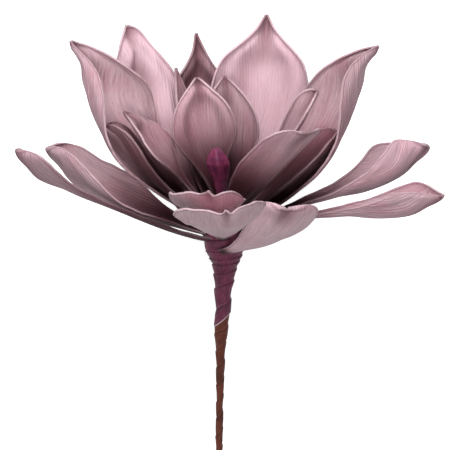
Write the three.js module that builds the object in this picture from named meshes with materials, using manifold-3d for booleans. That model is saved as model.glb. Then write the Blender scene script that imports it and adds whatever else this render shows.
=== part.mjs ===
// An artificial magnolia: petals of thin foam sheet set in layers round a bud, taped to a wire stem.
// It lies on its back, on the tips of two hidden petals and the end of its stem, so z = 0 is what it lies on.
// Everything is in millimetres. +X is right, +Y runs from the stem's cut end to the flower, +Z is up.
import * as THREE from "three";
import { mergeVertices } from "three/addons/utils/BufferGeometryUtils.js";
import Module from "manifold-3d";

// Driving dimensions
const SHEET = 1.0; // thickness of the foam sheet
const GAP = 0.3; // clearance between pieces that are pressed or glued together
const TIP_HALF = 0.7; // half the width of a petal's very tip
const AXIS_RISE = 12; // degrees that the flower's axis rises from the surface
const STEM_DEPTH = 296; // from the petals' seat down to the cut end
const TAPE_JOIN = -44.5; // height where the plum tape ends and the brown tape starts
const TAPE_STEP = 0.3; // height of the ridge that each turn of tape makes
const NECK_PITCH = 7.6; // rise of the plum tape in each turn
const STEM_PITCH = 9.0; // rise of the brown tape in each turn
const WIRE_RADIUS = 1.0;
const WIRE_TOP = 9; // height that the wire reaches inside the seat
const WIRE_BARE = 0.6; // bare wire past the tape at the cut end
const CELLS = [12, 8]; // cells of a petal's mesh along and across it
const PLAIN_CELLS = [10, 6]; // the same for narrow petals and those at the back
const RIDGE_BREADTH = 0.55; // how broad the ridge inside a margin is, as a share of its distance from it
const RIDGE_START = [0.25, 0.7]; // shares of the length between which that ridge grows
const RIDGE_ROOM = [0.5, 1.2]; // half widths between which it grows, as shares of its distance from the margin
const TIP_MARGIN = 1.3; // how much further the ridge keeps from the tip than from the sides
const FULL_WAVE = 12; // half width from which a margin waves fully

// Materials
const PETAL = new THREE.MeshStandardMaterial({ color: 0xc49aa6, roughness: 0.85, metalness: 0 });
const PETAL_PALE = new THREE.MeshStandardMaterial({ color: 0xd2b0b9, roughness: 0.85, metalness: 0 });
const BUD = new THREE.MeshStandardMaterial({ color: 0x6a2a4c, roughness: 0.8, metalness: 0 });
const PLUM_TAPE = new THREE.MeshStandardMaterial({ color: 0x6b3049, roughness: 0.7, metalness: 0 });
const BROWN_TAPE = new THREE.MeshStandardMaterial({ color: 0x5e3228, roughness: 0.75, metalness: 0 });
const WIRE = new THREE.MeshStandardMaterial({ color: 0x8c8c8c, roughness: 0.4, metalness: 1 });

// Each petal in the flower's own axes: x right, y back, z up the stem, with the petals' seat at z = 0.
//   at      direction it grows in, in degrees round the stem: 0 is the front, 90 the right, 180 the back
//   foot    distance from the stem's axis and height at which it starts
//   length, width
//   belly   share of the length at which it is widest
//   claw    width at the foot, as a share of the widest
//   waist   over 1 it stays narrow for longer above the foot
//   tip     [a, b]: past the belly the width falls as (1 - y^a)^b
//   nib     [start, depth] of the narrowing that draws the tip out
//   rise    angles of its spine above the seat's plane, from foot to tip
//   turn    change of direction along the spine
//   roll    turning round its own spine
//   cup     angle of the curl from the spine to the margin
//   lean    how much more the half on the left of its back curls than the other
//   skew    how much wider that half is than the other
//   wave    [height, waves, phase] of the margin
//   flare   [left, right, ridge]: how high the ridge inside each margin is, and its distance from the margin
//   crease  [depth, start, breadth] of the fold down the middle, which starts at a share of the length
// A list of angles holds the control values of a Bezier curve along the petal.
const PLAIN_PETAL = {
  at: 0, foot: [7, 0], length: 110, width: 45, belly: 0.58, claw: 0.15, waist: 1, tip: [2, 0.85],
  nib: [0.8, 0], rise: [60, 50, 40, 40], turn: [0, 0], roll: [0, 0], cup: [60, 50, 40, 50],
  lean: 0, skew: 0, wave: [0, 2, 0], flare: [1.2, 1.2, 8], crease: [0, 0.6, 4], cells: CELLS, material: PETAL,
};
const PETALS = {
  // Round the bud
  petal_inner_back: {
    at: -150, foot: [1, 13], length: 71, width: 36, belly: 0.6, waist: 1.6, claw: 0.12,
    tip: [2, 0.8], rise: [58, 69, 75, 75], roll: [-20, -26], cup: [60, 45, 30, 80], lean: -0.15,
    nib: [0.78, 0.25], crease: [4, 0.55, 2.5], flare: [2.5, 4, 6],
  },
  petal_inner_back_right: {
    at: 168, foot: [3.5, 11], length: 75, width: 36, belly: 0.6, waist: 1.3, rise: [46, 59, 75, 85],
    turn: [0, 10, 45], cup: [60, 40, 30, 80], lean: -0.4,
  },
  petal_inner_back_left: {
    at: -143, foot: [3.5, 7.5], length: 84, width: 12, belly: 0.6, claw: 0.25,
    rise: [44, 66, 72, 78], turn: [0, 0, 8], cup: [60, 40, 40, 60], cells: PLAIN_CELLS,
  },
  petal_inner_left: {
    at: -96, foot: [2.5, 11], length: 71, width: 31, belly: 0.66, waist: 2, claw: 0.13,
    rise: [46, 42, 50, 56], roll: [-5, -18, -20], cup: [60, 55, 50, 70], skew: 0.15,
    wave: [0.8, 2, 0.2], flare: [3, 2, 6],
  },
  petal_inner_left_low: {
    at: -89, foot: [4.5, 8.5], length: 74, width: 26, belly: 0.74, claw: 0.2, tip: [3.5, 0.6],
    rise: [44, 26, 4, 72, 78, 32], cup: [60, 60, 70, 60],
  },
  petal_inner_right_front: {
    at: 43, foot: [3.5, 10], length: 76, width: 36, belly: 0.6, waist: 0.7, claw: 0.2,
    tip: [5, 0.45], rise: [42, 46, 43, 40], roll: [-5, -5], cup: [60, 50, 45, 30],
  },
  petal_inner_right_back: {
    at: 73, foot: [2.5, 12], length: 80, width: 19, belly: 0.76, waist: 1.4, claw: 0.18,
    tip: [3.5, 0.6], rise: [50, 50, 55, 66], roll: [0, 30, 50], cup: [60, 50, 60, 80],
  },
  petal_inner_right_low: {
    at: 99, foot: [4, 8], length: 71, width: 30, belly: 0.68, waist: 1.2, tip: [3, 0.6],
    rise: [34, 35, 38, 56], roll: [15, 20, 15], cup: [60, 60, 60, 60], skew: -0.12,
  },
  petal_inner_front: {
    at: -5, foot: [4, 5.5], length: 77, width: 40, belly: 0.52, tip: [2.4, 0.55],
    rise: [28, 20, 20, 27], cup: [60, 50, 40, 45], lean: 0.2, skew: -0.18, wave: [1, 2.2, 0.1],
    crease: [-2.5, 0.75, 2],
  },
  // The tall layer
  petal_tall_back_left: {
    at: -128, foot: [5.5, 5.5], length: 117, width: 39, belly: 0.66, claw: 0.11, tip: [7, 0.5],
    nib: [0.68, 0.62], rise: [33, 49, 72, 88], roll: [-24, -24], cup: [60, 40, 30, 50], skew: -0.17,
    crease: [2, 0.8, 3], flare: [6, 6, 9], wave: [1.6, 2.6, 0.3],
  },
  petal_tall_left: {
    at: -97, foot: [5, 4.5], length: 121, width: 56, belly: 0.66, waist: 1.2, claw: 0.12,
    rise: [38, 38, 28, 72, 68, 74], roll: [-24, -32, -5], cup: [60, 55, 45, 30, -10, 240, 60],
    skew: -0.18, flare: [6, 0, 9],
  },
  petal_tall_back_right: {
    at: 157, foot: [6, 2], length: 121, width: 57, belly: 0.64, claw: 0.12, tip: [2.6, 0.75],
    nib: [0.8, 0.5], rise: [34, 56, 74, 92], roll: [20, 20], cup: [60, 40, 30, 90], skew: 0.04,
    crease: [7, 0.72, 4], flare: [4.5, 4, 11],
  },
  petal_tall_back: {
    at: -166, foot: [7, 1], length: 115, width: 44, belly: 0.66, claw: 0.16, tip: [3, 0.6],
    nib: [0.66, 0.8], rise: [24, 50, 84, 94], turn: [0, 0, 0, -12], roll: [-8, -8, 15],
    cup: [60, 30, 40, 70], skew: 0.05, crease: [4, 0.6, 3], flare: [3, 1, 6],
  },
  petal_tall_right: {
    at: 101, foot: [5, 5], length: 120, width: 54, belly: 0.7, claw: 0.12,
    rise: [27, 33, 42, 76, 60, 66], roll: [24, 26, -2], cup: [60, 60, 58, 45, 5, 170, 90],
    skew: 0.04, flare: [0, 6, 9],
  },
  // The spread layer
  petal_low_left_front: {
    at: -72, foot: [7.5, 0], length: 112, width: 28, belly: 0.88, waist: 3.5, claw: 0.28,
    tip: [3, 0.5], rise: [12, 28, 26, 30, -6, 80], cup: [60, 60, 70, 60], skew: 0.2,
  },
  petal_low_left_back: {
    at: -95, foot: [8.5, 3.2], length: 93, width: 46, belly: 0.7, claw: 0.18, tip: [4, 0.45],
    rise: [13, 20, 14, 64], roll: [-18, -26, 12], cup: [60, 60, 70, 70], skew: -0.05, lean: 0.15,
    wave: [1, 2, 0.6],
  },
  petal_low_right_back: {
    at: 92, foot: [7, 2], length: 108, width: 57, belly: 0.81, waist: 2.4, claw: 0.1,
    tip: [3, 0.55], rise: [25, 46, -8, 0, 24, 68], roll: [0, 0, 0, 0, -10, -45],
    cup: [60, 60, 95, 80], skew: 0.2, lean: 0.1, wave: [0.8, 2, 0.3],
  },
  petal_low_right: {
    at: 72, foot: [7, -2.5], length: 112, width: 44, belly: 0.82, waist: 2.4, claw: 0.14,
    rise: [37, 18, -38, 51], roll: [0, -15], cup: [60, 60, 90, 80], skew: 0.25,
  },
  petal_low_front: {
    at: 1, foot: [7, 1.5], length: 98, width: 49, belly: 0.66, rise: [18, 14, 18, 24],
    cup: [60, 52, 34, 70], lean: 0.3, skew: -0.05, material: PETAL_PALE, crease: [-3, 0.7, 1.6],
  },
  petal_low_front_right: {
    at: 0, foot: [9, -5], length: 57, width: 35, belly: 0.7, claw: 0.3, tip: [5, 0.45],
    turn: [58, 40, 20], rise: [16, 24, 36, 54], roll: [-15, -35, -15], cup: [50, 45, 50, 50],
    skew: 0.2, material: PETAL_PALE,
  },
  // Behind: the flower lies on the tips of the first two
  petal_low_back_right: {
    at: 149, foot: [7, -4], length: 107, width: 38, rise: [9, 34, 48, 57], cells: PLAIN_CELLS,
  },
  petal_low_back_left: {
    at: -152, foot: [7, -4], length: 107, width: 34, rise: [13, 37, 50, 56], cells: PLAIN_CELLS,
  },
  petal_low_back: {
    at: 180, foot: [7, -3], length: 98, width: 34, rise: [17, 40, 56, 62], cells: PLAIN_CELLS,
  },
};

// The seat that the petals' feet are glued round, and the taped neck below it, as [radius, height]
const SEAT = [[9.5, 0], [8.6, 3], [7.2, 7], [5.6, 10], [4, 12.4], [2.4, 14.6], [0, 15.2]];
const NECK = [
  [3.7, TAPE_JOIN], [3.9, -38], [4.1, -33], [4.4, -24.5], [5.4, -17], [6.5, -12.5], [8.4, -8.4], [10, -4],
];
const STEM = [
  [1.8, -110], [1.85, -85], [2.0, -72], [2.3, -62], [2.7, -54], [3.3, -49], [3.5, TAPE_JOIN - GAP],
];
// The sideways place of the neck's and stem's middle, as [x, height]
const CENTRE = [
  [-6, -STEM_DEPTH], [-2, -105], [-1.3, -62], [-1.1, -48], [0, -38], [0.1, -25], [1.2, -12], [0.4, 0], [0, 8],
];
// The bud, as [radius, height]
const BUD_OUTLINE = [
  [0, 15.5], [1.8, 15.5], [2, 18], [2.5, 25], [3.2, 30], [4.6, 35], [5.6, 39], [4.9, 42], [3.2, 45], [1.4, 46.8],
  [0, 47],
];
const BUD_FOOT = [0, -1.2]; // where the bud stands on the seat
const BUD_TIP = [-3.2, -1.5]; // where its tip is
const BUD_FOLDS = { count: 3, depth: 0.35, turns: 0.5 }; // the wrapped leaves of the bud, in relief

const wasm = await Module();
wasm.setup();

// A value on the straight lines between [value, height] rows, whose heights rise.
function between(rows, height) {
  if (height <= rows[0][1]) return rows[0][0];
  const next = rows.findIndex((row) => row[1] >= height);
  if (next < 0) return rows[rows.length - 1][0];
  const [low, high] = [rows[next - 1], rows[next]];
  return THREE.MathUtils.mapLinear(height, low[1], high[1], low[0], high[0]);
}

// The value at s on the Bezier curve of a list of control values.
function bezier(values, s) {
  let row = values;
  while (row.length > 1) row = row.slice(1).map((v, i) => THREE.MathUtils.lerp(row[i], v, s));
  return row[0];
}

const { degToRad: radians, smoothstep } = THREE.MathUtils;

// Half the width of a petal at the share s of its length.
function halfWidth(petal, s) {
  const rising = Math.min(s / petal.belly, 1) ** petal.waist;
  const past = Math.max((s - petal.belly) / (1 - petal.belly), 0);
  const drawn = Math.max((s - petal.nib[0]) / (1 - petal.nib[0]), 0);
  const widening = petal.claw + (1 - petal.claw) * smoothstep(rising, 0, 1);
  const [a, b] = petal.tip;
  const narrowing = Math.max(1 - past ** a, 0) ** b;
  const outline = s < petal.belly ? widening : narrowing;
  const pinched = 1 - petal.nib[1] * smoothstep(drawn, 0, 1);
  return Math.max((petal.width / 2) * outline * pinched, TIP_HALF);
}

// The spine of a petal, as a point and three directions at each of many equal steps.
function spine(petal) {
  const STEPS = 240;
  const frames = [];
  const [reach, height] = petal.foot;
  const start = radians(petal.at);
  const point = new THREE.Vector3(reach * Math.sin(start), -reach * Math.cos(start), height);
  for (let i = 0; i <= STEPS; i++) {
    const s = i / STEPS;
    const rise = radians(bezier(petal.rise, s));
    const heading = radians(petal.at + bezier(petal.turn, s));
    const roll = radians(bezier(petal.roll, s));
    const along = new THREE.Vector3(
      Math.cos(rise) * Math.sin(heading), -Math.cos(rise) * Math.cos(heading), Math.sin(rise));
    if (i > 0) point.addScaledVector(along.clone().add(frames[i - 1].along), petal.length / STEPS / 2);
    const across = new THREE.Vector3(Math.cos(heading), Math.sin(heading), 0).applyAxisAngle(along, roll);
    frames.push({ point: point.clone(), along, across, inward: along.clone().cross(across) });
  }
  return (s) => {
    const place = s * STEPS;
    const i = Math.min(Math.floor(place), STEPS - 1);
    const mixed = {};
    for (const key of ["point", "across", "inward"]) {
      mixed[key] = frames[i][key].clone().lerp(frames[i + 1][key], place - i);
    }
    return mixed;
  };
}

// The pressed relief of a petal's middle surface at (s, w), towards its inner face: the ridge inside each
// margin, less the fold down the middle.
function relief(petal, s, w, half) {
  const [left, right, ridge] = petal.flare;
  const fromMargin = Math.min((1 - Math.abs(w)) * half, ((1 - s) * petal.length) / TIP_MARGIN);
  const band = Math.exp(-(((fromMargin - ridge) / (RIDGE_BREADTH * ridge)) ** 2));
  const grown = smoothstep(s, ...RIDGE_START) * smoothstep(half / ridge, ...RIDGE_ROOM);
  const [depth, start, breadth] = petal.crease;
  const fold = depth * smoothstep(s, start, 1) * Math.exp(-(((w * half) / breadth) ** 2));
  return THREE.MathUtils.lerp(left, right, (w + 1) / 2) * band * grown - fold;
}

// A petal's middle surface: the point at the share s of its length and w of its half width, from -1 to 1.
function surface(petal) {
  const frame = spine(petal);
  return (s, w) => {
    const { point, across, inward } = frame(s);
    const half = halfWidth(petal, s);
    const side = Math.sign(w);
    const out = Math.abs(w);
    const curl = radians(bezier(petal.cup, s)) * (1 + petal.lean * side);
    const wider = 1 + petal.skew * side;
    const [height, waves, phase] = petal.wave;
    const wave = height * Math.sin(2 * Math.PI * (waves * s + phase + 0.23 * side)) * out ** 2;
    const sideways = (wider * side * half * Math.sin(curl * out)) / curl;
    const curled = (wider * half * (1 - Math.cos(curl * out))) / curl;
    const raised = curled + wave * Math.min(1, half / FULL_WAVE) + relief(petal, s, w, half);
    return point.addScaledVector(across, sideways).addScaledVector(inward, raised);
  };
}

// The direction that the middle surface faces, inwards, at (s, w).
function facing(place, s, w) {
  const STEP = 0.004;
  const [s0, s1] = [Math.max(s - STEP, 0), Math.min(s + STEP, 1)];
  const [w0, w1] = [Math.max(w - STEP, -1), Math.min(w + STEP, 1)];
  const along = place(s1, w).sub(place(s0, w));
  const across = place(s, w1).sub(place(s, w0));
  return along.cross(across).normalize();
}

// A closed sheet of even thickness round a middle surface. Both faces are split into the same triangles.
function sheetGeometry(place, [rows, columns]) {
  const positions = [];
  for (const half of [SHEET / 2, -SHEET / 2]) {
    for (let i = 0; i <= rows; i++) {
      for (let j = 0; j <= columns; j++) {
        const [s, w] = [i / rows, (2 * j) / columns - 1];
        const point = place(s, w).addScaledVector(facing(place, s, w), half);
        positions.push(point.x, point.y, point.z);
      }
    }
  }
  const inner = (i, j) => i * (columns + 1) + j;
  const outer = (i, j) => inner(i, j) + (rows + 1) * (columns + 1);
  const index = [];
  for (let i = 0; i < rows; i++) {
    for (let j = 0; j < columns; j++) {
      const corners = [[i, j], [i + 1, j], [i + 1, j + 1], [i, j + 1]];
      const [a, b, c, d] = corners.map(([m, n]) => inner(m, n));
      index.push(a, b, c, a, c, d);
      const [e, f, g, h] = corners.map(([m, n]) => outer(m, n));
      index.push(e, g, f, e, h, g);
    }
  }
  const border = [];
  for (let j = 0; j < columns; j++) border.push([0, j]);
  for (let i = 0; i < rows; i++) border.push([i, columns]);
  for (let j = columns; j > 0; j--) border.push([rows, j]);
  for (let i = rows; i > 0; i--) border.push([i, 0]);
  border.forEach((here, k) => {
    const next = border[(k + 1) % border.length];
    const [a, b] = [inner(...here), inner(...next)];
    const [c, d] = [outer(...here), outer(...next)];
    index.push(a, b, d, a, d, c);
  });
  const geometry = new THREE.BufferGeometry();
  geometry.setAttribute("position", new THREE.Float32BufferAttribute(positions, 3));
  geometry.setIndex(index);
  return geometry;
}

// A turned shape whose middle follows CENTRE. Each turn of tape stands out by step at its lower edge.
function turnedGeometry(outline, sides, { pitch = 1, step = 0, taped = () => false } = {}) {
  const points = outline.map(([radius, height]) => new THREE.Vector2(radius, height));
  const geometry = new THREE.LatheGeometry(points, sides);
  geometry.rotateX(Math.PI / 2); // the lathe turns round y, and here the stem's axis is z
  const position = geometry.attributes.position;
  const point = new THREE.Vector3();
  for (let i = 0; i < position.count; i++) {
    point.fromBufferAttribute(position, i);
    const radius = Math.hypot(point.x, point.y);
    if (taped(radius, point.z)) {
      const turn = Math.atan2(point.y, point.x) / (2 * Math.PI) - point.z / pitch;
      const ridge = step * THREE.MathUtils.euclideanModulo(turn, 1);
      point.x *= (radius + ridge) / radius;
      point.y *= (radius + ridge) / radius;
    }
    position.setXYZ(i, point.x + between(CENTRE, point.z), point.y, point.z);
  }
  return geometry;
}

// The geometry as a manifold-3d solid.
function solid(geometry) {
  const bare = geometry.clone();
  bare.deleteAttribute("normal");
  bare.deleteAttribute("uv");
  const merged = mergeVertices(bare, 1e-4);
  const vertProperties = merged.attributes.position.array;
  const triVerts = new Uint32Array(merged.index.array);
  return new wasm.Manifold(new wasm.Mesh({ numProp: 3, vertProperties, triVerts }));
}

// The largest body of a manifold-3d solid, as geometry.
function geometryOf(shape) {
  const body = shape.decompose().reduce((a, b) => (a.volume() > b.volume() ? a : b));
  const { vertProperties, triVerts } = body.getMesh();
  const geometry = new THREE.BufferGeometry();
  geometry.setAttribute("position", new THREE.BufferAttribute(new Float32Array(vertProperties), 3));
  geometry.setIndex(new THREE.BufferAttribute(new Uint32Array(triVerts), 1));
  return geometry;
}

// Rows [value, height] taken at even heights, for a fine relief on a coarse outline.
function evenRows(rows, from, to, spacing) {
  const count = Math.ceil((to - from) / spacing);
  return Array.from({ length: count + 1 }, (_, i) => {
    const height = from + ((to - from) * i) / count;
    return [between(rows, height), height];
  });
}

const RING = 1.6; // spacing of the neck's rings
const STEM_RING = 3.5; // spacing of the stem's rings
const BORE_RING = 20; // spacing of the bore's rings
const NECK_SIDES = 24;
const STEM_SIDES = 12;
const bore = WIRE_RADIUS + GAP;

// Seat and neck in one piece, with a blind bore for the wire
function neck() {
  const inside = evenRows([[bore, 0]], TAPE_JOIN, WIRE_TOP + GAP, BORE_RING).reverse();
  const outline = [[0, WIRE_TOP + GAP], ...inside, ...evenRows(NECK, TAPE_JOIN, -4, RING), ...SEAT];
  const taped = (radius, height) => radius > bore + GAP && height < -4;
  return turnedGeometry(outline, NECK_SIDES, { pitch: NECK_PITCH, step: TAPE_STEP, taped });
}

// The taped stem, a long sleeve round the wire
function stem() {
  const [low, high] = [-STEM_DEPTH, TAPE_JOIN - GAP];
  const inside = evenRows([[bore, 0]], low, high, BORE_RING).reverse();
  const outside = evenRows(STEM, low, high, STEM_RING);
  const taped = (radius) => radius > bore + GAP;
  const options = { pitch: STEM_PITCH, step: TAPE_STEP, taped };
  return turnedGeometry([...inside, ...outside, inside[0]], STEM_SIDES, options);
}

function wire() {
  const low = -STEM_DEPTH - WIRE_BARE;
  const side = evenRows([[WIRE_RADIUS, 0]], low, WIRE_TOP, BORE_RING);
  return turnedGeometry([[0, low], ...side, [0, WIRE_TOP]], STEM_SIDES);
}

function bud() {
  const points = BUD_OUTLINE.map(([radius, height]) => new THREE.Vector2(radius, height));
  const geometry = new THREE.LatheGeometry(points, 20);
  geometry.rotateX(Math.PI / 2);
  const [foot, tip] = [BUD_OUTLINE[0][1], BUD_OUTLINE.at(-1)[1]];
  const position = geometry.attributes.position;
  for (let i = 0; i < position.count; i++) {
    const [x, y, z] = [position.getX(i), position.getY(i), position.getZ(i)];
    const up = (z - foot) / (tip - foot);
    const angle = Math.atan2(y, x) + 2 * Math.PI * BUD_FOLDS.turns * up;
    const radius = Math.hypot(x, y);
    const fold = BUD_FOLDS.depth * Math.cos(BUD_FOLDS.count * angle) * Math.sin(Math.PI * up);
    const grow = radius > 0 ? (radius + Math.min(fold, radius * 0.2)) / radius : 0;
    position.setXY(
      i,
      x * grow + THREE.MathUtils.lerp(BUD_FOOT[0], BUD_TIP[0], up),
      y * grow + THREE.MathUtils.lerp(BUD_FOOT[1], BUD_TIP[1], up),
    );
  }
  return geometry;
}

// What the petals' feet are cut back to: the seat and neck, larger by the gap
function seatRoom() {
  const grown = [...NECK, ...SEAT.slice(0, -1)].map(([radius, height]) => [radius + GAP, height]);
  const top = SEAT.at(-1)[1] + GAP;
  const outline = [[0, TAPE_JOIN], ...grown, [SEAT.at(-2)[0] + GAP, top], [0, top]];
  return solid(turnedGeometry(outline, 48));
}

function named(name, geometry, material) {
  const mesh = new THREE.Mesh(geometry, material);
  mesh.name = name;
  return mesh;
}

const flower = new THREE.Group();
flower.rotation.x = radians(AXIS_RISE - 90);
flower.add(named("neck_tape", neck(), PLUM_TAPE));
flower.add(named("stem_tape", stem(), BROWN_TAPE));
flower.add(named("stem_wire", wire(), WIRE));
flower.add(named("bud", bud(), BUD));

const room = seatRoom();
for (const [name, own] of Object.entries(PETALS)) {
  const petal = { ...PLAIN_PETAL, ...own };
  const whole = solid(sheetGeometry(surface(petal), petal.cells));
  flower.add(named(name, geometryOf(whole.subtract(room)), petal.material));
}

// The origin is the middle of the bottom of the whole, on the surface that it lies on
const magnolia = new THREE.Group();
magnolia.add(flower);
magnolia.updateMatrixWorld(true);
const reach = new THREE.Box3().setFromObject(magnolia, true);
const middle = reach.getCenter(new THREE.Vector3());
flower.position.set(-middle.x, -middle.y, -reach.min.z);

export default magnolia;
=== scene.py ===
# %% [markdown]
# # An artificial magnolia, made in Blender
# The real object is a large craft flower of dusty mauve petals. Such petals are cut from thin foam sheet,
# painted and bent while they are hot, and they are bound in layers round a wire with plum tape. The
# wire's stem is wound in brown tape. A cut stem has nothing to stand in, so the flower lies on its back
# petals and on the end of its stem, and the camera looks down on it.
#
# Every solid of the construction model but the wire is replaced here by a finer piece of the same form.

import math
import random

import bmesh
import bpy
import numpy as np
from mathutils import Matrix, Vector


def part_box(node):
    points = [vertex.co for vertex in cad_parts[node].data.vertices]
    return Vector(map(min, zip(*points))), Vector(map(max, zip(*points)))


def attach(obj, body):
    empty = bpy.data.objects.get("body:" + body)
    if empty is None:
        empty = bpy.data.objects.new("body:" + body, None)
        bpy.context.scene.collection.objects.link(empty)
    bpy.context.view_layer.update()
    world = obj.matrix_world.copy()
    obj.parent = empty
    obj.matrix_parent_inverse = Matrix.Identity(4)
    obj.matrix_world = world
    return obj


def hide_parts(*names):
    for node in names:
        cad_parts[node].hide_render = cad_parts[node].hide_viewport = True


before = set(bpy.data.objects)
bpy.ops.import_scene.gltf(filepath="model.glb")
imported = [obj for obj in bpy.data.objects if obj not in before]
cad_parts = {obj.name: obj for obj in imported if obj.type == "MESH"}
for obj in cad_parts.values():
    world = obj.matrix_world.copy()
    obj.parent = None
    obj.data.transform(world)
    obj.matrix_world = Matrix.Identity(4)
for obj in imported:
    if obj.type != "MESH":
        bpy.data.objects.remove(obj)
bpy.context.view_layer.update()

# %% [markdown]
# ## Where the flower lies
# The construction model was drawn upright, in its own axes: x to the right, y to the back and z up the
# stem, with zero at the flower's heart. Then it was laid down. The petals carry its heart above the
# surface while the stem's end touches it, so its axis rises by 12 degrees. Here the petals are drawn in
# those same upright axes, in millimetres, because their shapes are easier to give that way, and one
# function lays each point down. The bare end of the wire tells where the heart is.

# %% Lay a point of the upright flower down
MM = 0.001
AXIS_RISE = math.radians(12)
STEM_END = (-6.0, 0.0, -296.6)
WIRE_RADIUS = 1.0

wire_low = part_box("stem_wire")[0]
HEART = Vector((
    wire_low.x + (WIRE_RADIUS - STEM_END[0]) * MM,
    wire_low.y + (-STEM_END[2] * math.cos(AXIS_RISE) + WIRE_RADIUS * math.sin(AXIS_RISE)) * MM,
    wire_low.z + (-STEM_END[2] * math.sin(AXIS_RISE) + WIRE_RADIUS * math.cos(AXIS_RISE)) * MM,
))


def lay_down(points):
    """Turns points of the upright flower, in millimetres, into places in the scene, in metres."""
    x, y, z = np.moveaxis(np.asarray(points, float), -1, 0)
    along = z * math.cos(AXIS_RISE) + y * math.sin(AXIS_RISE)
    up = z * math.sin(AXIS_RISE) - y * math.cos(AXIS_RISE)
    return np.stack([x, along, up], -1) * MM + np.array(HEART)


print("the heart of the flower is at", [round(v, 4) for v in HEART])

# %% [markdown]
# ## Camera
# The photograph looks at the flower square on, and its petals are hardly distorted, as through a long
# lens. With the flower lying down, that is the view from straight above. A metre is chosen as the
# distance, and the lens below sees 225 mm at the flower's heart, which is half a millimetre for each
# pixel.

# %% Camera
VIEW_DISTANCE = 1.0
SENSOR = 36.0
FIELD = 0.225
AIM = Vector((1.0, 7.5, 0.0)) * MM

lens = bpy.data.cameras.new("camera")
lens.sensor_width = SENSOR
lens.lens = SENSOR * VIEW_DISTANCE / FIELD
lens.clip_end = 20
camera = bpy.data.objects.new("camera", lens)
camera.location = HEART + AIM + Vector((0, 0, VIEW_DISTANCE))
bpy.context.scene.collection.objects.link(camera)
bpy.context.scene.camera = camera
print("lens", round(lens.lens, 1), "mm, camera at", [round(v, 3) for v in camera.location])

# %% [markdown]
# ## Floor and light
# A product photograph like this one is lit by large soft boxes, and its ground is burnt out to white.
# The main light comes from beyond the bloom, so the insides of the petals glow and the faces that look
# back towards the stem stay dark. The floor glows a little itself, which keeps its shadow pale, and
# none of its light falls on the petals.

# %% Helpers for materials
def start_material(name, roughness, specular):
    """A new material whose even numbers are set on the shader's own sockets."""
    material = bpy.data.materials.new(name)
    material.use_nodes = True
    shader = material.node_tree.nodes["Principled BSDF"]
    shader.inputs["Roughness"].default_value = roughness
    shader.inputs["Specular IOR Level"].default_value = specular
    return material, material.node_tree, shader


def colour(red, green, blue):
    """A colour as a screen shows it, from 0 to 255, turned into the linear numbers of a shader."""
    def linear(value):
        value = value / 255
        return value / 12.92 if value <= 0.04045 else ((value + 0.055) / 1.055) ** 2.4
    return linear(red), linear(green), linear(blue), 1.0


# %% Floor
FLOOR_SIZE = 6.0
FLOOR_GLOW = 0.55

floor_material, _, floor_shader = start_material("white_floor", roughness=0.9, specular=0.1)
floor_shader.inputs["Base Color"].default_value = colour(250, 250, 250)
floor_shader.inputs["Emission Color"].default_value = colour(255, 255, 255)
floor_shader.inputs["Emission Strength"].default_value = FLOOR_GLOW

floor_bm = bmesh.new()
bmesh.ops.create_grid(floor_bm, x_segments=1, y_segments=1, size=FLOOR_SIZE / 2)
floor_mesh = bpy.data.meshes.new("floor")
floor_bm.to_mesh(floor_mesh)
floor_bm.free()
floor = bpy.data.objects.new("floor", floor_mesh)
floor.data.materials.append(floor_material)
bpy.context.scene.collection.objects.link(floor)
floor.visible_diffuse = False
print("floor", FLOOR_SIZE, "m wide")


# %% Lights
def soft_box(name, place, size, power):
    """A square light that stands at a place, seen from the heart, and shines at it."""
    light = bpy.data.lights.new(name, "AREA")
    light.shape = "SQUARE"
    light.size = size
    light.energy = power
    box = bpy.data.objects.new(name, light)
    box.location = HEART + Vector(place)
    box.rotation_euler = (-Vector(place)).to_track_quat("-Z", "Y").to_euler()
    bpy.context.scene.collection.objects.link(box)


soft_box("light_beyond_the_bloom", (-0.15, 1.25, 0.95), size=0.9, power=26)
soft_box("light_by_the_camera", (0.1, -0.5, 1.6), size=0.8, power=17)
soft_box("light_from_the_left", (-1.3, 0.5, 0.9), size=0.8, power=3)

STUDIO_LIGHT = 0.12
world = bpy.data.worlds.new("studio")
world.use_nodes = True
world.node_tree.nodes["Background"].inputs["Color"].default_value = colour(235, 235, 238)
world.node_tree.nodes["Background"].inputs["Strength"].default_value = STUDIO_LIGHT
bpy.context.scene.world = world
bpy.context.scene.view_settings.view_transform = "Standard"

# %% [markdown]
# ## Building materials from nodes
# Each finish is a small net of shader nodes, and a few helpers keep such nets readable. They add a node
# and set it, mix two colours, stretch a range of values over another, do arithmetic, make noise, read
# what a mesh carries at its points, and turn a height into relief.
#
# Most finishes are built up in coats, as on the real thing: each coat lies only where some pattern is
# strong, and covers at most a given share of the paint below.

# %% Helpers for nodes
def add(tree, kind, inputs=None, **settings):
    """Adds a node, with its settings and its input values or links."""
    made = tree.nodes.new(kind)
    for key, value in settings.items():
        setattr(made, key, value)
    for key, value in (inputs or {}).items():
        feed(tree, value, made.inputs[key])
    return made


def feed(tree, value, socket):
    """Gives a socket a fixed value, or links it to another node's output."""
    if isinstance(value, bpy.types.NodeSocket):
        tree.links.new(value, socket)
    else:
        socket.default_value = value


def mixed(tree, amount, first, second):
    """The colour between two others, by an amount from 0 to 1."""
    made = tree.nodes.new("ShaderNodeMix")
    made.data_type = "RGBA"
    feed(tree, amount, made.inputs[0])
    feed(tree, first, made.inputs[6])
    feed(tree, second, made.inputs[7])
    return made.outputs[2]


def stretched(tree, value, low, high, to_low=0.0, to_high=1.0):
    """Stretches the part of a value from low to high over the range given, and clips the rest."""
    made = add(tree, "ShaderNodeMapRange", {0: value, 1: low, 2: high, 3: to_low, 4: to_high})
    made.interpolation_type = "SMOOTHSTEP"
    return made.outputs[0]


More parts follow.
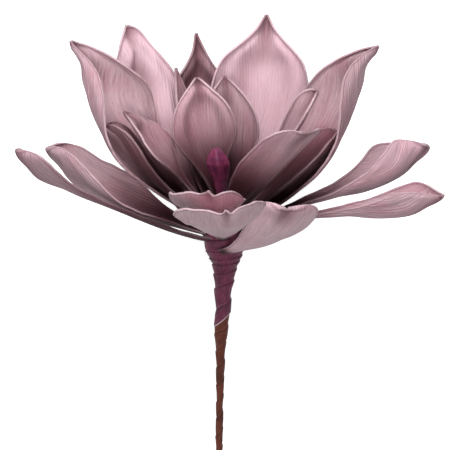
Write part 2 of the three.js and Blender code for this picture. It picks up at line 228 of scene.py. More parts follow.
def combined(tree, operation, first, second):
    """Arithmetic on two values."""
    return add(tree, "ShaderNodeMath", {0: first, 1: second}, operation=operation).outputs[0]


def coated(tree, paint, coats):
    """Lays coats over the paint. Each is a pattern, the values at which it starts and is full, the
    share that it covers there, and its colour."""
    for pattern, start, full, share, coat in coats:
        paint = mixed(tree, stretched(tree, pattern, start, full, 0.0, share), paint, coat)
    return paint


def noise(tree, vector, scale, detail=2.0, roughness=0.5):
    """Even noise from 0 to 1 on the vector's coordinates."""
    made = add(tree, "ShaderNodeTexNoise", {"Vector": vector, "Scale": scale, "Detail": detail,
                                            "Roughness": roughness})
    return made.outputs[0]


def read(tree, name):
    """A value that the mesh carries at each of its points."""
    return add(tree, "ShaderNodeAttribute", attribute_name=name)


def raised(tree, shader, height, depth):
    """Lets a height pattern catch the light, with its depth in metres."""
    bump = add(tree, "ShaderNodeBump", {"Height": height, "Distance": depth})
    tree.links.new(bump.outputs[0], shader.inputs["Normal"])


# %% [markdown]
# ## The painted foam
# The petals are foam sheet about a millimetre thick. Heat-stamped veins run from the foot and drift out
# to the margins, and dry paint caught on them leaves pale and dark streaks. The cut edge shows as a pale
# line, the foam's own pale cut brightened by a painted highlight, with a thin dark line of painted shadow
# just inside it. Down in the heart the colour deepens to plum, partly the flower's own paint and partly
# painted shade, and goes near black with painted shadow where it is deepest.
#
# The pattern has to follow each petal's bend, so it isn't laid out in space. Each petal carries the
# numbers it needs at its points: `grain` runs across and along the veins, `edge` is the distance from
# the margin and `deep` the distance from the foot, both in millimetres, `fold` tells how far into the
# crease of the tip a point lies, where shade is painted in, and the last value is painted shade over the
# whole petal, or painted light where it is below 0. Where the painted shade of the heart reaches further
# up a petal, its `deep` grows more slowly.

# %% Material: petal foam
MAUVE = colour(202, 168, 177)
MAUVE_PALE = colour(216, 184, 192)
ROSE = colour(196, 150, 162)
STREAK_LIGHT = colour(224, 202, 208)
STREAK_DARK = colour(156, 112, 124)
PAINTED_LIGHT_PINK = colour(240, 204, 215)
PLUM_AND_PAINTED_SHADE = colour(98, 42, 56)
HEART_PAINTED_SHADOW = colour(50, 15, 24)
PALE_CUT_AND_HIGHLIGHT = colour(210, 186, 193)
EDGE_PAINTED_SHADOW = colour(108, 70, 82)
VEIN_SCALE = 0.16
SCRATCH_STRETCH = (2.2, 1.6, 1.0)
DARKEST_PAINTED_SHADE = 0.6
PALEST_PAINTED_LIGHT = 0.8
CREASE_SHADE_SHARE = 0.75
EDGE_WANDER = 0.9
FOAM_RELIEF = 0.0004


def foam_material(name, base):
    """Dry painted foam with streaks along its veins."""
    material, tree, shader = start_material(name, roughness=0.66, specular=0.18)
    shader.inputs["Sheen Weight"].default_value = 0.05
    shader.inputs["Sheen Roughness"].default_value = 0.5
    grain = read(tree, "grain").outputs["Vector"]
    edge = read(tree, "edge").outputs["Fac"]
    deep = read(tree, "deep").outputs["Fac"]
    light_and_shade = read(tree, "light_and_shade").outputs["Fac"]
    fold = read(tree, "fold").outputs["Fac"]
    place = add(tree, "ShaderNodeTexCoord").outputs["Object"]

    streaks = noise(tree, grain, scale=0.75, detail=3.0, roughness=0.6)
    fine = noise(tree, grain, scale=2.1, detail=2.0, roughness=0.6)
    patches = noise(tree, place, scale=38.0)
    speck = noise(tree, place, scale=900.0, detail=1.0)

    across_grain = add(tree, "ShaderNodeVectorMath", {0: grain, 1: SCRATCH_STRETCH}, operation="MULTIPLY")
    scratches = noise(tree, across_grain.outputs[0], scale=1.6, roughness=0.6)
    veins = add(tree, "ShaderNodeTexWave", {"Vector": grain, "Scale": VEIN_SCALE, "Distortion": 3.0,
                                            "Detail": 1.0, "Detail Scale": 0.6}).outputs[1]

    paint = coated(tree, base, (
        (patches, 0.42, 0.68, 1.0, ROSE),
        (streaks, 0.52, 0.74, 0.45, STREAK_LIGHT),
        (streaks, 0.48, 0.3, 0.28, STREAK_DARK),
        (fine, 0.47, 0.34, 0.35, STREAK_DARK),
        (scratches, 0.57, 0.7, 0.45, STREAK_LIGHT),
        (veins, 0.3, 0.0, 0.15, STREAK_DARK),
    ))
    # Painted shade darkens a petal whose value is above 0 and painted light pales one below 0, as an
    # amount under 0 mixes nothing in.
    paint = mixed(tree, combined(tree, "MULTIPLY", light_and_shade, DARKEST_PAINTED_SHADE), paint, PLUM_AND_PAINTED_SHADE)
    paint = mixed(tree, combined(tree, "MULTIPLY", light_and_shade, -PALEST_PAINTED_LIGHT), paint, PAINTED_LIGHT_PINK)
    # Painted shade darkens the crease down the middle of the tip.
    paint = mixed(tree, combined(tree, "MULTIPLY", fold, CREASE_SHADE_SHARE), paint, PLUM_AND_PAINTED_SHADE)
    # Down in the heart: plum, partly the flower's own paint and partly painted shade, then near black
    # painted shadow.
    paint = coated(tree, paint, (
        (deep, 78.0, 16.0, 0.95, PLUM_AND_PAINTED_SHADE),
        (deep, 50.0, 16.0, 0.97, HEART_PAINTED_SHADOW),
    ))

    # At the margin: a thin dark line of painted shadow just inside the cut edge, and the pale cut edge,
    # brightened in patches by a painted highlight and dimmed by painted shade down in the heart.
    restless = combined(tree, "SUBTRACT", noise(tree, place, scale=260.0), 0.5)
    edge = combined(tree, "ADD", edge, combined(tree, "MULTIPLY", restless, EDGE_WANDER))
    edge_shadow = combined(tree, "MULTIPLY", stretched(tree, edge, 0.4, 0.7),
                    stretched(tree, edge, 1.5, 0.9, 0.0, 0.45))
    paint = mixed(tree, edge_shadow, paint, EDGE_PAINTED_SHADOW)
    rim_patches = stretched(tree, patches, 0.35, 0.65, 0.1, 0.6)
    pale_edge_and_highlight = combined(tree, "MULTIPLY", stretched(tree, edge, 0.6, 0.3), rim_patches)
    pale_edge_and_highlight = combined(tree, "MULTIPLY", pale_edge_and_highlight, stretched(tree, deep, 15.0, 75.0, 0.3, 1.0))
    paint = mixed(tree, pale_edge_and_highlight, paint, PALE_CUT_AND_HIGHLIGHT)
    feed(tree, paint, shader.inputs["Base Color"])
    feed(tree, stretched(tree, streaks, 0.3, 0.7, 0.7, 0.52), shader.inputs["Roughness"])

    height = streaks
    for pattern, share in ((fine, 0.5), (veins, 0.35), (speck, 0.12)):
        height = combined(tree, "ADD", height, combined(tree, "MULTIPLY", pattern, share))
    raised(tree, shader, height, FOAM_RELIEF)
    return material


FOAM = foam_material("petal_foam", MAUVE)
FOAM_PALE = foam_material("petal_foam_pale", MAUVE_PALE)
print("foam materials:", FOAM.name, FOAM_PALE.name)

# %% [markdown]
# ## The shape of a petal
# No two petals are alike, yet all are bent from the same kind of blank, so one formula makes them all
# from a few numbers each. A middle line leaves the foot and rises by an angle that changes along it.
# Across it the sheet is an arc, deeper or flatter from foot to tip, and the outline gives its width.
#
# - `at`: side of the flower that the foot is on, in degrees: 0 is the camera's side, 90 the right
# - `foot`: distance of the foot from the axis, and its height
# - `length`, `width`, `belly`: the blank's size, and where along it is widest
# - `claw`, `waist`: width of the foot end as a share, and how slowly it widens from there
# - `tip`, `nib`: roundness of the far end, and where it narrows to a point and by how much
# - `rise`, `turn`, `roll`, `cup`: angles of the middle line upwards and sideways, of the sheet about it,
#   and of the arc across half the sheet. Each list is a Bezier curve along the petal
# - `lean`, `skew`: how much more one half curls, and how much wider it is
# - `wave`: height, number and start of the waves of the margin
# - `flare`: height of the ridge past which the two margins bend back, and its distance from them
# - `crease`: depth of the fold along the middle of the tip, where it starts, and its width
# - `shade`, `dusk`: painted shade over the whole petal, or painted light below 0, and how far up the
#   painted shade of the heart reaches
# - `cells`, `slot`: cells of its grid across and along it, and the finish it has in the library

# %% The petals' sizes
FOAM_SLOT = "petal_foam"
PALE = "petal_foam_pale"
CELLS = (40, 96)
FEW_CELLS = (26, 64)
PLAIN_PETAL = dict(
    at=0, foot=[7, 0], length=110, width=45, belly=0.58, claw=0.15, waist=1, tip=[2, 0.85],
    nib=[0.8, 0], rise=[60, 50, 40, 40], turn=[0, 0], roll=[0, 0], cup=[60, 50, 40, 50],
    lean=0, skew=0, wave=[0, 2, 0], flare=[1.2, 1.2, 8], crease=[0, 0.6, 4], shade=0, dusk=1,
    cells=CELLS, slot=FOAM_SLOT,
)
PETALS = {
    # Round the bud
    "petal_inner_back": dict(
        at=-150, foot=[1, 13], length=71, width=36, belly=0.6, waist=1.6, claw=0.12, tip=[2, 0.8],
        rise=[58, 69, 75, 75], roll=[-20, -26], cup=[60, 45, 30, 80], lean=-0.15, nib=[0.78, 0.25],
        crease=[4, 0.55, 2.5], flare=[2.5, 4, 6], shade=-0.2,
    ),
    "petal_inner_back_right": dict(
        at=168, foot=[3.5, 11], length=75, width=36, belly=0.6, waist=1.3,
        rise=[46, 59, 75, 85], turn=[0, 10, 45], cup=[60, 40, 30, 80], lean=-0.4, shade=-0.1,
    ),
    "petal_inner_back_left": dict(
        at=-143, foot=[3.5, 7.5], length=84, width=12, belly=0.6, claw=0.25,
        rise=[44, 66, 72, 78], turn=[0, 0, 8], cup=[60, 40, 40, 60], cells=FEW_CELLS,
    ),
    "petal_inner_left": dict(
        at=-96, foot=[2.5, 11], length=71, width=31, belly=0.66, waist=2, claw=0.13,
        rise=[46, 42, 50, 56], roll=[-5, -18, -20], cup=[60, 55, 50, 70], skew=0.15, wave=[0.8, 2, 0.2],
        flare=[3, 2, 6],
    ),
    "petal_inner_left_low": dict(
        at=-89, foot=[4.5, 8.5], length=74, width=26, belly=0.74, claw=0.2, tip=[3.5, 0.6],
        rise=[44, 26, 4, 72, 78, 32], cup=[60, 60, 70, 60], dusk=1.5, shade=0.15,
    ),
    "petal_inner_right_front": dict(
        at=43, foot=[3.5, 10], length=76, width=36, belly=0.6, waist=0.7, claw=0.2, tip=[5, 0.45],
        rise=[42, 46, 43, 40], roll=[-5, -5], cup=[60, 50, 45, 30], dusk=1.1, shade=-0.3,
    ),
    "petal_inner_right_back": dict(
        at=73, foot=[2.5, 12], length=80, width=19, belly=0.76, waist=1.4, claw=0.18, tip=[3.5, 0.6],
        rise=[50, 50, 55, 66], roll=[0, 30, 50], cup=[60, 50, 60, 80], shade=-0.2,
    ),
    "petal_inner_right_low": dict(
        at=99, foot=[4, 8], length=71, width=30, belly=0.68, waist=1.2, tip=[3, 0.6],
        rise=[34, 35, 38, 56], roll=[15, 20, 15], cup=[60, 60, 60, 60], skew=-0.12, shade=0.5, dusk=1.6,
    ),
    "petal_inner_front": dict(
        at=-5, foot=[4, 5.5], length=77, width=40, belly=0.52, tip=[2.4, 0.55],
        rise=[28, 20, 20, 27], cup=[60, 50, 40, 45], lean=0.2, skew=-0.18, wave=[1, 2.2, 0.1],
        crease=[-2.5, 0.75, 2], dusk=0.5, shade=-0.35,
    ),
    # The tall layer
    "petal_tall_back_left": dict(
        at=-128, foot=[5.5, 5.5], length=117, width=39, belly=0.66, claw=0.11, tip=[7, 0.5],
        nib=[0.68, 0.62], rise=[33, 49, 72, 88], roll=[-24, -24], cup=[60, 40, 30, 50], skew=-0.17,
        crease=[2, 0.8, 3], flare=[6, 6, 9], wave=[1.6, 2.6, 0.3], shade=-0.6,
    ),
    "petal_tall_left": dict(
        at=-97, foot=[5, 4.5], length=121, width=56, belly=0.66, waist=1.2, claw=0.12,
        rise=[38, 38, 28, 72, 68, 74], roll=[-24, -32, -5], cup=[60, 55, 45, 30, -10, 240, 60],
        skew=-0.18, flare=[6, 0, 9], dusk=1.1,
    ),
    "petal_tall_back_right": dict(
        at=157, foot=[6, 2], length=121, width=57, belly=0.64, claw=0.12, tip=[2.6, 0.75],
        nib=[0.8, 0.5], rise=[34, 56, 74, 92], roll=[20, 20], cup=[60, 40, 30, 90], skew=0.04,
        crease=[7, 0.72, 4], flare=[4.5, 4, 11], shade=-0.6,
    ),
    "petal_tall_back": dict(
        at=-166, foot=[7, 1], length=115, width=44, belly=0.66, claw=0.16, tip=[3, 0.6],
        nib=[0.66, 0.8], rise=[24, 50, 84, 94], turn=[0, 0, 0, -12], roll=[-8, -8, 15],
        cup=[60, 30, 40, 70], skew=0.05, crease=[4, 0.6, 3], flare=[3, 1, 6], shade=0.8,
    ),
    "petal_tall_right": dict(
        at=101, foot=[5, 5], length=120, width=54, belly=0.7, claw=0.12,
        rise=[27, 33, 42, 76, 60, 66], roll=[24, 26, -2], cup=[60, 60, 58, 45, 5, 170, 90],
        skew=0.04, flare=[0, 6, 9], dusk=1.25, shade=0.3,
    ),
    # The spread layer
    "petal_low_left_front": dict(
        at=-72, foot=[7.5, 0], length=112, width=28, belly=0.88, waist=3.5, claw=0.28, tip=[3, 0.5],
        rise=[12, 28, 26, 30, -6, 80], cup=[60, 60, 70, 60], skew=0.2, dusk=1.65,
    ),
    "petal_low_left_back": dict(
        at=-95, foot=[8.5, 3.2], length=93, width=46, belly=0.7, claw=0.18, tip=[4, 0.45],
        rise=[13, 20, 14, 64], roll=[-18, -26, 12], cup=[60, 60, 70, 70], skew=-0.05, lean=0.15,
        wave=[1, 2, 0.6], shade=-0.1, dusk=0.85,
    ),
    "petal_low_right_back": dict(
        at=92, foot=[7, 2], length=108, width=57, belly=0.81, waist=2.4, claw=0.1, tip=[3, 0.55],
        rise=[25, 46, -8, 0, 24, 68], roll=[0, 0, 0, 0, -10, -45], cup=[60, 60, 95, 80], skew=0.2,
        lean=0.1, wave=[0.8, 2, 0.3], shade=-0.4,
    ),
    "petal_low_right": dict(
        at=72, foot=[7, -2.5], length=112, width=44, belly=0.82, waist=2.4, claw=0.14,
        rise=[37, 18, -38, 51], roll=[0, -15], cup=[60, 60, 90, 80], skew=0.25,
    ),
    "petal_low_front": dict(
        at=1, foot=[7, 1.5], length=98, width=49, belly=0.66,
        rise=[18, 14, 18, 24], cup=[60, 52, 34, 70], lean=0.3, skew=-0.05,
        crease=[-3, 0.7, 1.6], dusk=0.35, shade=-0.5, slot=PALE,
    ),
    "petal_low_front_right": dict(
        at=0, foot=[9, -5], length=57, width=35, belly=0.7, claw=0.3, tip=[5, 0.45],
        rise=[16, 24, 36, 54], turn=[58, 40, 20], roll=[-15, -35, -15], cup=[50, 45, 50, 50],
        skew=0.2, dusk=0.12, shade=-0.4, slot=PALE,
    ),
    # Behind: the flower lies on the tips of the first two
    "petal_low_back_right": dict(
        at=149, foot=[7, -4], length=107, width=38, rise=[9, 34, 48, 57], cells=FEW_CELLS,
    ),
    "petal_low_back_left": dict(
        at=-152, foot=[7, -4], length=107, width=34, rise=[13, 37, 50, 56], cells=FEW_CELLS,
    ),
    "petal_low_back": dict(
        at=180, foot=[7, -3], length=98, width=34, rise=[17, 40, 56, 62], cells=FEW_CELLS,
    ),
}
print("petals:", len(PETALS))

# %% [markdown]
# ## Working out the sheet
# The middle line is laid in many small steps, and each point of the sheet is then placed from the
# nearest ones: sideways along the arc, and up off it by the waves, the ridges and the crease.
#
# A ridge is `RIDGE_BREADTH` of its distance from the margin broad. It grows between the two shares of the
# length in `RIDGE_START`, and where half the petal is wide enough for it, by `RIDGE_ROOM`. It keeps
# `TIP_MARGIN` times as far from the tip as from the sides. The margins wave fully where half the petal
# is `FULL_WAVE` wide, and the waves of the two margins are set `SIDE_SHIFT` apart from the middle.

# %% The formula
def between(low, high, value):
    """A smooth step from 0 at low to 1 at high."""
    share = np.clip((value - low) / (high - low), 0, 1)
    return share * share * (3 - 2 * share)


def bezier(values, s):
    """A Bezier curve through control values, at each s from 0 to 1."""
    last = len(values) - 1
    return sum(math.comb(last, i) * s ** i * (1 - s) ** (last - i) * v for i, v in enumerate(values))


TIP_HALF = 0.7
SPINE_STEPS = 400
RIDGE_BREADTH = 0.55
RIDGE_START = (0.25, 0.7)
RIDGE_ROOM = (0.5, 1.2)
TIP_MARGIN = 1.3
FULL_WAVE = 12
SIDE_SHIFT = 0.23
LEAST_CURL = 0.001


def half_width(petal, s):
    """Half the blank's width along the petal."""
    x = np.clip(s / petal["belly"], 0, 1) ** petal["waist"]
    widening = petal["claw"] + (1 - petal["claw"]) * between(0, 1, x)
    past = np.clip((s - petal["belly"]) / (1 - petal["belly"]), 0, 1)
    power, roundness = petal["tip"]
    closing = np.clip(1 - past ** power, 0, 1) ** roundness
    nib_start, nib_share = petal["nib"]
    point = 1 - nib_share * between(nib_start, 1, s)
    share = np.where(s < petal["belly"], widening, closing) * point
    return np.maximum(petal["width"] / 2 * share, TIP_HALF)


def spine(petal):
    """The middle line: its places, and its rising and sideways angles, at even steps."""
    s = np.linspace(0, 1, SPINE_STEPS + 1)
    rise = np.radians(bezier(petal["rise"], s))
    heading = np.radians(petal["at"] + bezier(petal["turn"], s))
    ahead = np.stack([np.cos(rise) * np.sin(heading), -np.cos(rise) * np.cos(heading), np.sin(rise)], -1)
    moves = (ahead[1:] + ahead[:-1]) / 2 * petal["length"] / SPINE_STEPS
    side = math.radians(petal["at"])
    radius, height = petal["foot"]
    foot = np.array([radius * math.sin(side), -radius * math.cos(side), height])
    return s, foot + np.concatenate([np.zeros((1, 3)), np.cumsum(moves, 0)]), rise, heading


def crease_share(petal, s, w, half):
    """How far each point lies in the fold down the middle, from 0 to 1."""
    _, start, breadth = petal["crease"]
    return between(start, 1, s) * np.exp(-(w * half / breadth) ** 2)


def margin_forms(petal, s, w, half):
    """Heights of the waves of the margin, which fade where the petal is narrow, and of the ridge inside
    each margin."""
    height, waves, phase = petal["wave"]
    wave = height * np.sin(2 * math.pi * (waves * s + phase + SIDE_SHIFT * np.sign(w))) * w ** 2
    left, right, ridge = petal["flare"]
    from_margin = np.minimum((1 - np.abs(w)) * half, (1 - s) * petal["length"] / TIP_MARGIN)
    swell = np.exp(-((from_margin - ridge) / (RIDGE_BREADTH * ridge)) ** 2)
    swell *= between(*RIDGE_START, s) * between(*RIDGE_ROOM, half / ridge)
    return wave * np.minimum(1, half / FULL_WAVE) + (left + (right - left) * (w + 1) / 2) * swell


def sheet_points(petal, s, w, lift):
    """Places of the sheet's points: s runs along it from 0 to 1, w across it from -1 to 1.
    lift pushes each point off the sheet, in millimetres."""
    steps, middle, rises, headings = spine(petal)
    centre = np.stack([np.interp(s, steps, middle[:, k]) for k in range(3)], -1)
    rise = np.interp(s, steps, rises)
    heading = np.interp(s, steps, headings)
    ahead = np.stack([np.cos(rise) * np.sin(heading), -np.cos(rise) * np.cos(heading), np.sin(rise)], -1)
    across = np.stack([np.cos(heading), np.sin(heading), 0 * heading], -1)
    inward = np.cross(ahead, across)
    roll = np.radians(bezier(petal["roll"], s))[:, None]
    across, inward = (np.cos(roll) * across + np.sin(roll) * inward,
                      np.cos(roll) * inward - np.sin(roll) * across)
    half = half_width(petal, s)
    side = np.sign(w)
    curl = np.radians(bezier(petal["cup"], s)) * (1 + petal["lean"] * side)
    curl = np.where(np.abs(curl) < LEAST_CURL, LEAST_CURL, curl)
    wide = (1 + petal["skew"] * side) * half
    sideways = wide * side * np.sin(curl * np.abs(w)) / curl
    up = wide * (1 - np.cos(curl * np.abs(w))) / curl
    up += margin_forms(petal, s, w, half) - petal["crease"][0] * crease_share(petal, s, w, half) + lift
    return centre + sideways[:, None] * across + up[:, None] * inward


# %% [markdown]
# ## From the formula to a petal
# A flat grid made by `bmesh.ops.create_grid` is the blank. Its points are moved by the formula, a little
# off it where the stamped folds and the uneven margin are, and a Solidify modifier then gives the sheet
# its thickness, with a small Bevel on the cut edge. Each petal starts just inside the seat that it is
# glued into. The random draws are seeded with the petal's own number, so the flower is the same each
# time.
#
# The folds come in three sizes, each with its spacing and height in millimetres, and they drift sideways
# along the petal. Broad dents and the restless margin are slow and quick waves of the same kind.

# %% Folds and dents of the stamped sheet
SHEET = 1.0
EDGE_ROUND = 0.22
SHARP_ANGLE = math.radians(50)
VEIN_DRIFT = 0.1
STAMPED_FOLDS = ((11.0, 0.2), (6.1, 0.13), (3.7, 0.07))
FOLD_DRIFT = 0.9
DRIFT_LENGTHS = (13, 21)
FULL_FOLD = 10
DENT_HEIGHT = 0.45
DENT_LENGTH = 15
MARGIN_HEIGHT = 0.13
MARGIN_LENGTHS = (3.1, 1.7)
ANY_PHASE = 6
SEAT_PROFILE = [(9.5, 0), (8.6, 3), (7.2, 7), (5.6, 10), (4, 12.4), (2.4, 14.6), (0, 15.2)]


def first_clear(petal):
    """How far along its middle line a petal leaves the seat that it is glued into."""
    steps, middle, _, _ = spine(petal)
    radii, heights = zip(*SEAT_PROFILE)
    seat = np.interp(middle[:, 2], heights, radii, left=radii[0], right=0)
    inside = np.hypot(middle[:, 0], middle[:, 1]) < seat
    return steps[np.argmin(inside)]


def swing(chance, angle):
    """A wave of height 1 that starts anywhere."""
    return np.sin(angle + chance.uniform(0, ANY_PHASE))


def relief(chance, across, along, half, w, s):
    """Heights of the folds along the veins, of broad dents and of the restless margin."""
    folds = np.zeros_like(across)
    for spacing, height in STAMPED_FOLDS:
        drift = FOLD_DRIFT * swing(chance, along / chance.uniform(*DRIFT_LENGTHS))
        folds += height * swing(chance, 2 * math.pi * across / spacing + drift)
    folds *= np.clip(half / FULL_FOLD, 0, 1) * between(1.0, 0.75, np.abs(w) * 0.9)
    dents = DENT_HEIGHT * swing(chance, along / DENT_LENGTH) * swing(chance, w * 2.4) * s
    long_wave, short_wave = MARGIN_LENGTHS
    margin = swing(chance, along / long_wave) + 0.7 * swing(chance, along / short_wave)
    return folds + dents + MARGIN_HEIGHT * margin * np.abs(w) ** 6


# %% Make one petal
def carry(mesh, name, kind, values):
    """Stores a value for each point of the mesh, for its material."""
    layer = mesh.attributes.new(name, kind, "POINT")
    layer.data.foreach_set("vector" if kind == "FLOAT_VECTOR" else "value", np.ravel(values))


def finished(name, mesh, node, material):
    """Turns a mesh into a piece of the flower that stands for a solid of the construction model."""
    piece = bpy.data.objects.new(name, mesh)
    bpy.context.scene.collection.objects.link(piece)
    mesh.materials.append(material)
    mesh.shade_smooth()
    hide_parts(node)
    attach(piece, "root")
    return piece


HIDDEN_FOOT = 0.02
GRAIN_ACROSS = 1.3
GRAIN_ALONG = 1 / 13
GRAIN_BESIDE = 0.3
SPINE_BAND = 2
GRAIN_STEP = 7
TIP_EDGE = 0.6


def grain_of(number, w, across, along, half):
    """Where each point lies in the foam's pattern. The third value keeps the two halves of a petal, and
    the petals, from looking alike."""
    beside = np.sign(w) * np.minimum(np.abs(w) * half, SPINE_BAND)
    return np.stack([across * GRAIN_ACROSS, along * GRAIN_ALONG,
                     beside * GRAIN_BESIDE + number * GRAIN_STEP], -1)


def make_petal(number, node, numbers):
    """Bends one blank into its petal."""
    petal = {**PLAIN_PETAL, **numbers}
    chance = random.Random(number)
    bm = bmesh.new()
    cells_across, cells_along = petal["cells"]
    bmesh.ops.create_grid(bm, x_segments=cells_across, y_segments=cells_along, size=1)
    mesh = bpy.data.meshes.new(node)
    bm.to_mesh(mesh)
    bm.free()
    flat = np.zeros(len(mesh.vertices) * 3)
    mesh.vertices.foreach_get("co", flat)
    w, s, _ = flat.reshape(-1, 3).T
    start = max(first_clear(petal) - HIDDEN_FOOT, 0)
    s = start + (1 - start) * (s + 1) / 2
    half = half_width(petal, s)
    along = s * petal["length"]
    across = np.abs(w) * half - VEIN_DRIFT * along
    lift = relief(chance, across, along, half, w, s)
    points = lay_down(sheet_points(petal, s, w, lift))
    mesh.vertices.foreach_set("co", points.ravel())
    to_side, to_tip = (1 - np.abs(w)) * half, (1 - s) * petal["length"] * TIP_EDGE
    carry(mesh, "grain", "FLOAT_VECTOR", grain_of(number, w, across, along, half))
    carry(mesh, "edge", "FLOAT", np.minimum(to_side, to_tip))
    carry(mesh, "deep", "FLOAT", along / petal["dusk"])
    carry(mesh, "light_and_shade", "FLOAT", np.full(len(s), petal["shade"]))
    carry(mesh, "fold", "FLOAT", crease_share(petal, s, w, half))
    mesh.update()
    material = FOAM_PALE if petal["slot"] == PALE else FOAM
    piece = finished(node + "_foam", mesh, node, material)
    wall = piece.modifiers.new("sheet", "SOLIDIFY")
    wall.thickness = SHEET * MM
    wall.offset = 0
    rounding = piece.modifiers.new("cut_edge", "BEVEL")
    rounding.width = EDGE_ROUND * MM
    rounding.segments = 2
    rounding.limit_method = "ANGLE"
    rounding.angle_limit = SHARP_ANGLE
    return piece


for number, (node, numbers) in enumerate(PETALS.items()):
    piece = make_petal(number, node, numbers)
    print(piece.name, len(piece.data.polygons), "faces")

# %% [markdown]
# ## Wound tape
# Floral tape is crepe paper that sticks to itself when it is stretched. Each turn laps over the turn
# below, so the surface is a helix of shallow steps, and the paper wrinkles across its width. A grid is
# rolled into a tube by a formula for its radius, with a step at each lap. Its seam, which lies at the
# back, is merged, and its ends are filled, so that the tube is a closed body.
#
# The tube carries three values for its finish: `wrap` is where a point lies on the wound paper, `lap`
# how far it is across its turn, and `end` how far it is above the torn end, in millimetres.

# %% Material: wound tape
TORN_EDGE_AND_HIGHLIGHT = colour(226, 206, 212)
TAPE_RELIEF = 0.0004


def tape_material(name, base, light, dark, size):
    """Crepe tape: wrinkles and worn patches, painted shade and a painted highlight where each turn laps,
    and a torn end of pale paper with a painted highlight.
    """
    material, tree, shader = start_material(name, roughness=0.6, specular=0.3)
    wrap = read(tree, "wrap").outputs["Vector"]
    lap = read(tree, "lap").outputs["Fac"]
    end = read(tree, "end").outputs["Fac"]
    place = add(tree, "ShaderNodeTexCoord").outputs["Object"]
    crepe = noise(tree, wrap, scale=size, detail=3.0, roughness=0.6)
    patches = noise(tree, place, scale=130.0)
    paint = coated(tree, base, (
        (patches, 0.4, 0.75, 0.7, dark),
        (crepe, 0.5, 0.78, 0.45, light),
        (crepe, 0.46, 0.25, 0.5, dark),
        # Painted shade along the step where each turn ends, a painted highlight just past it, and at the
        # torn end pale paper with a painted highlight.
        (lap, 0.86, 0.97, 0.75, dark),
        (lap, 0.1, 0.0, 0.35, light),
        (end, 0.8, 0.5, 0.8, TORN_EDGE_AND_HIGHLIGHT),
    ))
    feed(tree, paint, shader.inputs["Base Color"])
    raised(tree, shader, crepe, TAPE_RELIEF)
    return material


PLUM_COLOURS = colour(112, 48, 74), colour(158, 98, 122), colour(64, 24, 42)
BROWN_COLOURS = colour(102, 48, 32), colour(140, 78, 56), colour(58, 26, 18)
PLUM_TAPE = tape_material("plum_tape", *PLUM_COLOURS, 1.3)
BROWN_TAPE = tape_material("brown_tape", *BROWN_COLOURS, 1.6)
print("tape materials:", PLUM_TAPE.name, BROWN_TAPE.name)

# %% Make a wound tube
CENTRE = [(-6, -296), (-2, -105), (-1.3, -62), (-1.1, -48), (0, -38), (0.1, -25), (1.2, -12),
          (0.4, 0), (0, 8)]


def read_off(pairs, z):
    """The value at each height z, on straight lines between pairs of a value and its height."""
    values, heights = zip(*pairs)
    return np.interp(z, heights, values)


def rolled(name, cells, shape):
    """Rolls a flat grid into a closed body. shape turns angles, which are 0 on the camera's side, and
    shares of the height into upright places and values for the material."""
    bm = bmesh.new()
    bmesh.ops.create_grid(bm, x_segments=cells[0], y_segments=cells[1], size=1)
    flat = np.array([vertex.co for vertex in bm.verts])
    places, values = shape(flat[:, 0] * math.pi, (flat[:, 1] + 1) / 2)
    for vertex, place in zip(bm.verts, lay_down(places)):
        vertex.co = place
    for key, numbers in values.items():
        layers = bm.verts.layers.float_vector if numbers.ndim == 2 else bm.verts.layers.float
        layer = layers.new(key)
        for vertex, number in zip(bm.verts, numbers):
            vertex[layer] = number
    bmesh.ops.remove_doubles(bm, verts=bm.verts, dist=0.000001)
    bmesh.ops.holes_fill(bm, edges=[edge for edge in bm.edges if edge.is_boundary], sides=0)
    bmesh.ops.recalc_face_normals(bm, faces=bm.faces)
    mesh = bpy.data.meshes.new(name)
    bm.to_mesh(mesh)
    bm.free()
    return mesh


LAP_EDGE = 0.93
LUMPS = ((0.12, 3, 2.3), (0.1, 2, -4.1))
WRAP_ROUND = 1.2
WRAP_RISE = 0.35
WRAP_SLANT = 0.5
NO_TORN_END = 9.0


def wound_tube(node, outline, turns, step, cells, material, slant=0.0):
    """A tube wound with tape. outline holds its radii and heights, and turns the heights of the laps on
    the camera's side. slant raises the lower end at the right and drops it at the left."""
    def shape(angle, share):
        low = outline[0][1] + slant * np.sin(angle)
        z = low + (outline[-1][1] - low) * share
        turn = np.interp(z, turns, np.arange(len(turns))) - angle / (2 * math.pi)
        lap = turn - np.floor(turn)
        radius = read_off(outline, z) + step * (lap - 0.5) * between(1.0, LAP_EDGE, lap)
        for height, lobes, length in LUMPS:
            radius += height * np.sin(lobes * angle + z / length)
        beside, ahead = radius * np.sin(angle), -radius * np.cos(angle)
        return np.stack([read_off(CENTRE, z) + beside, ahead, z], -1), {
            "lap": lap,
            "wrap": np.stack([beside * WRAP_ROUND, ahead * WRAP_ROUND,
                              z * WRAP_RISE - beside * WRAP_SLANT], -1),
            "end": z - low if slant else np.full(len(z), NO_TORN_END),
        }

    mesh = rolled(node, cells, shape)
    piece = finished(node + "_wound", mesh, node, material)
    mesh.set_sharp_from_angle(angle=SHARP_ANGLE)
    return piece


# %% [markdown]
# ## The neck and the stem
# The plum tape winds the neck and runs on into the seat that the petals' feet are glued round. Its lower
# end is torn on the slant and covers the top of the brown tape. Both outlines are pairs of a radius and a
# height, and the laps are given by the heights at which each turn starts on the camera's side.

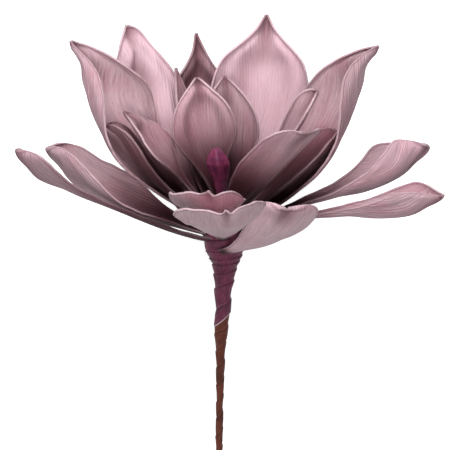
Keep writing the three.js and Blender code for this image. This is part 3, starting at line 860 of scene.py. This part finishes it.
# %% Wind the neck and the stem
NECK = [(3.7, -41), (3.9, -37), (4.1, -33), (4.4, -24.5), (5.4, -17), (6.5, -12.5), (8.4, -8.4),
        (10, -4), (9.5, 0), (8.6, 3), (7.2, 7), (5.6, 10), (4, 12.4), (2.4, 14.6), (0.2, 15.2)]
NECK_TURNS = [-50, -32.5, -22, -15.5, -11.2, -8.4, -4, 2, 16]
NECK_SLANT = 3.6
NECK_STEP = 0.7
NECK_CELLS = (72, 240)
STEM = [(1.8, -296), (1.8, -110), (1.85, -85), (2.0, -72), (2.3, -62), (2.7, -54), (3.3, -49),
        (3.4, -45), (3.3, -38)]
STEM_PITCH = 9.0
STEM_TURNS = list(np.arange(-298, -30, STEM_PITCH))
STEM_STEP = 0.42
STEM_CELLS = (40, 900)

neck = wound_tube("neck_tape", NECK, NECK_TURNS, NECK_STEP, NECK_CELLS, PLUM_TAPE, NECK_SLANT)
stem = wound_tube("stem_tape", STEM, STEM_TURNS, STEM_STEP, STEM_CELLS, BROWN_TAPE)
print("neck", len(neck.data.polygons), "faces, stem", len(stem.data.polygons), "faces")

# %% [markdown]
# ## The wire
# A florist's wire runs through the whole stem, and its cut end shows below the tape. It is a plain rod,
# so the construction model's own solid is kept here and only gets its finish.

# %% Material: steel wire
wire_material, wire_tree, wire_shader = start_material("wire_steel", roughness=0.35, specular=0.5)
wire_shader.inputs["Metallic"].default_value = 1.0
wire_place = add(wire_tree, "ShaderNodeTexCoord").outputs["Object"]
wire_mark = noise(wire_tree, wire_place, scale=700.0, detail=3.0)
BRIGHT_STEEL = colour(150, 150, 152)
DULL_STEEL = colour(92, 90, 90)
wire_paint = coated(wire_tree, BRIGHT_STEEL, ((wire_mark, 0.4, 0.7, 1.0, DULL_STEEL),))
feed(wire_tree, wire_paint, wire_shader.inputs["Base Color"])
wire_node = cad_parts["stem_wire"]
wire_node.data.materials.clear()
wire_node.data.materials.append(wire_material)
print("wire finish:", wire_material.name)

# %% [markdown]
# ## The bud
# In the heart stands a closed bud, a twist of darker foam. It is a turned form with five shallow lobes
# that wind a little round it. Its middle leans, so its foot and its tip are given as places across.

# %% Material: bud foam
bud_material, bud_tree, bud_shader = start_material("bud_foam", roughness=0.55, specular=0.35)
bud_place = add(bud_tree, "ShaderNodeTexCoord").outputs["Object"]
bud_height = read(bud_tree, "rise").outputs["Fac"]
bud_mark = noise(bud_tree, bud_place, scale=240.0, detail=3.0)
BUD_COLOUR = colour(120, 42, 76)
BUD_DARK = colour(88, 28, 62)
BUD_FOOT_SHADE = colour(48, 14, 34)
BUD_RELIEF = 0.0003
# Towards its foot, down in the heart, the bud is darkened by painted shade.
bud_paint = coated(bud_tree, BUD_COLOUR, (
    (bud_mark, 0.3, 0.7, 1.0, BUD_DARK),
    (bud_height, 0.45, 0.05, 1.0, BUD_FOOT_SHADE),
))
feed(bud_tree, bud_paint, bud_shader.inputs["Base Color"])
raised(bud_tree, bud_shader, bud_mark, BUD_RELIEF)
print("bud finish:", bud_material.name)

# %% Make the bud
BUD = [(1.8, 15.5), (2.0, 18), (2.5, 25), (3.2, 30), (4.6, 35), (5.6, 39), (4.9, 42), (3.2, 45),
       (1.4, 46.8)]
BUD_FOOT = (0.0, -1.2)
BUD_TIP = (-3.2, -1.5)
BUD_LOBES = 5
BUD_LOBE_DEPTH = 0.1
BUD_TWIST = 0.8
BUD_CELLS = (60, 60)


def bud_shape(angle, share):
    """The bud's places, and how high each is."""
    z = BUD[0][1] + (BUD[-1][1] - BUD[0][1]) * share
    lobes = 1 - BUD_LOBE_DEPTH * np.cos(BUD_LOBES * (angle + share * BUD_TWIST))
    radius = read_off(BUD, z) * lobes
    centre = [foot + (tip - foot) * share for foot, tip in zip(BUD_FOOT, BUD_TIP)]
    places = np.stack([centre[0] + radius * np.sin(angle), centre[1] - radius * np.cos(angle), z], -1)
    return places, {"rise": share}


bud_mesh = rolled("bud", BUD_CELLS, bud_shape)
finished("bud_foam", bud_mesh, "bud", bud_material)
print("bud", len(bud_mesh.polygons), "faces")
